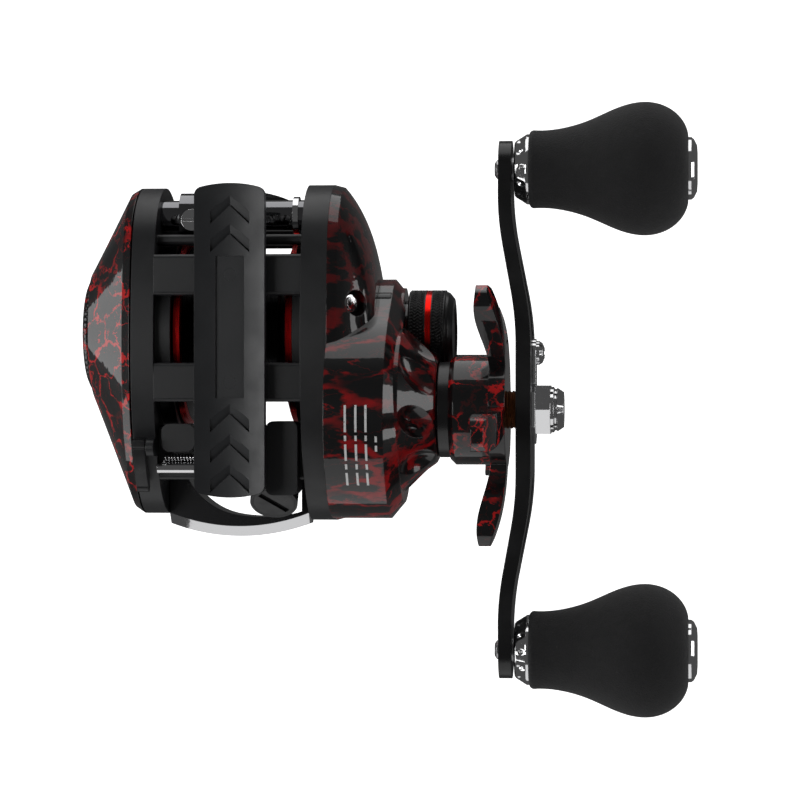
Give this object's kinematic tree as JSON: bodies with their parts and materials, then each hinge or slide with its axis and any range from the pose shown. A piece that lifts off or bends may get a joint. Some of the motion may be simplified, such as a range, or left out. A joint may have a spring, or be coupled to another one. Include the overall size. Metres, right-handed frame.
{
  "type": "baitcasting reel",
  "caption": "Low-profile fishing reel: spool between two side plates on a rod foot, level wind, star drag and a double handle with round knobs.",
  "frame": {"origin": "centre of the flat pad on the underside of the reel foot, which lies against the rod's reel seat", "axes": "+Z away from the rod, -Y along the rod towards its tip and the line guide, +X towards the handle, along every axle"},
  "size_m": [0.1201, 0.118, 0.0578],
  "materials": {
    "frame_black": "matte black anodised",
    "foot_grey": "matte charcoal",
    "black_plastic": "moulded black",
    "dark_chrome": "dark polished",
    "chrome": "polished",
    "steel": "satin",
    "crackle_paint": "glossy black over a red crackle network",
    "magnet": "nickel plated",
    "spool_alloy": "black anodised with red rims",
    "brass": "machined",
    "ceramic": "polished ceramic",
    "carbon_fibre": "woven friction disc",
    "handle_black": "semi-matte black",
    "red_anodised": "anodised",
    "eva_foam": "fine-grained foam"
  },
  "bodies": {
    "frame": {"frame": "frame_black", "reel_foot": "foot_grey", "foot_rivets": "steel", "oil_port_plug": "black_plastic", "front_hood": "frame_black", "worm_tube": "dark_chrome", "worm_bushings": "black_plastic", "guide_bar": "chrome", "worm_clip": "chrome", "drive_shaft_bearing": "steel", "pinion_bearings": "steel", "handle_side_cover": "crackle_paint", "cover_screws": "chrome", "one_way_bearing": "steel", "yoke_springs": "steel"},
    "palm_cover": {"palm_side_cover": "crackle_paint", "palm_spool_bearing": "steel"},
    "brake_dial": {"brake_dial": "crackle_paint", "magnet_carrier": "black_plastic", "brake_magnets": "magnet"},
    "release_lever": {"release_lever": "black_plastic"},
    "spool": {"spool": "spool_alloy", "spool_shaft": "steel", "spool_pin": "steel", "brake_drum": "spool_alloy"},
    "pinion": {"pinion_gear": "brass"},
    "clutch_cam": {"clutch_cam": "black_plastic"},
    "clutch_yoke": {"clutch_yoke": "black_plastic"},
    "thumb_bar": {"thumb_bar": "dark_chrome"},
    "worm": {"worm_shaft": "steel", "worm_gear": "black_plastic"},
    "idler_rear": {"idler_gear_rear": "black_plastic"},
    "idler_front": {"idler_gear_front": "black_plastic"},
    "line_guide": {"line_guide": "dark_chrome", "line_guide_insert": "ceramic", "pawl": "brass", "pawl_cap": "chrome"},
    "crank": {"drive_shaft": "brass", "drive_gear": "brass", "drag_washers": "carbon_fibre", "drag_plates": "steel", "clutch_ratchet": "steel", "level_wind_drive_gear": "black_plastic", "one_way_sleeve": "chrome", "drag_spring_washers": "steel", "handle_arm": "handle_black", "nut_lock_plate": "chrome", "lock_screw": "chrome", "handle_nut": "chrome", "knob_spindles": "steel"},
    "star": {"star_drag": "crackle_paint", "drag_nut": "brass"},
    "cast_control": {"cast_control_cap": "dark_chrome", "cast_control_ring": "red_anodised"},
    "knob_front": {"knob_collar_front": "chrome", "knob_grip_front": "eva_foam", "knob_cap_front": "chrome"},
    "knob_rear": {"knob_collar_rear": "chrome", "knob_grip_rear": "eva_foam", "knob_cap_rear": "chrome"}
  },
  "joints": [
    {"name": "handle_turn", "type": "hinge", "parent": "frame", "child": "crank", "pos_m": [0, 0.0132, 0.01296], "axis": [1, 0, 0], "continuous": true},
    {"name": "spool_spin", "type": "hinge", "parent": "frame", "child": "spool", "pos_m": [0, -0.0017, 0.0235], "axis": [1, 0, 0], "continuous": true},
    {"name": "pinion_spin", "type": "hinge", "parent": "clutch_yoke", "child": "pinion", "pos_m": [0, -0.0017, 0.0235], "axis": [1, 0, 0], "continuous": true},
    {"name": "idler_rear_spin", "type": "hinge", "parent": "frame", "child": "idler_rear", "pos_m": [0, 0.00027, 0.01031], "axis": [1, 0, 0], "continuous": true},
    {"name": "idler_front_spin", "type": "hinge", "parent": "frame", "child": "idler_front", "pos_m": [0, -0.01413, 0.01067], "axis": [1, 0, 0], "continuous": true},
    {"name": "worm_spin", "type": "hinge", "parent": "frame", "child": "worm", "pos_m": [0, -0.0244, 0.014], "axis": [1, 0, 0], "continuous": true},
    {"name": "line_guide_slide", "type": "slide", "parent": "frame", "child": "line_guide", "axis": [1, 0, 0], "range_m": [0, 0.0158]},
    {"name": "thumb_press", "type": "slide", "parent": "frame", "child": "thumb_bar", "axis": [0, 0, -1], "range_m": [0, 0.005]},
    {"name": "clutch_cam_turn", "type": "hinge", "parent": "frame", "child": "clutch_cam", "pos_m": [0, -0.0017, 0.0235], "axis": [-1, 0, 0], "range_deg": [0, 12.07]},
    {"name": "clutch_yoke_slide", "type": "slide", "parent": "frame", "child": "clutch_yoke", "axis": [1, 0, 0], "range_m": [0, 0.00121], "deforming": ["yoke_springs"]},
    {"name": "brake_dial_turn", "type": "hinge", "parent": "palm_cover", "child": "brake_dial", "pos_m": [0, -0.0017, 0.0235], "axis": [1, 0, 0], "range_deg": [-35, 35]},
    {"name": "palm_cover_slide", "type": "slide", "parent": "frame", "child": "palm_cover", "axis": [-1, 0, 0], "range_m": [0, 0.025]},
    {"name": "release_lever_turn", "type": "hinge", "parent": "frame", "child": "release_lever", "pos_m": [0, 0.0204, 0.0036], "axis": [-1, 0, 0], "range_deg": [0, 25]},
    {"name": "star_drag_turn", "type": "hinge", "parent": "crank", "child": "star", "pos_m": [0, 0.0132, 0.01296], "axis": [1, 0, 0], "range_deg": [-360, 180]},
    {"name": "cast_control_turn", "type": "hinge", "parent": "frame", "child": "cast_control", "pos_m": [0, -0.0017, 0.0235], "axis": [1, 0, 0], "range_deg": [-360, 180]},
    {"name": "knob_front_spin", "type": "hinge", "parent": "crank", "child": "knob_front", "pos_m": [0, -0.033, 0.01296], "axis": [1, 0, 0], "continuous": true},
    {"name": "knob_rear_spin", "type": "hinge", "parent": "crank", "child": "knob_rear", "pos_m": [0, 0.0594, 0.01296], "axis": [1, 0, 0], "continuous": true}
  ],
  "couplings": [
    {"joint": "spool_spin", "follows": "handle_turn", "ratio": -7.1111},
    {"joint": "pinion_spin", "follows": "handle_turn", "ratio": -7.1111},
    {"joint": "idler_rear_spin", "follows": "handle_turn", "ratio": -0.83333},
    {"joint": "idler_front_spin", "follows": "handle_turn", "ratio": 0.83333},
    {"joint": "worm_spin", "follows": "handle_turn", "ratio": -1.6667},
    {"joint": "clutch_cam_turn", "follows": "thumb_press", "rad_per_m": 41.965},
    {"joint": "clutch_yoke_slide", "follows": "thumb_press", "ratio": 0.24}
  ]
}
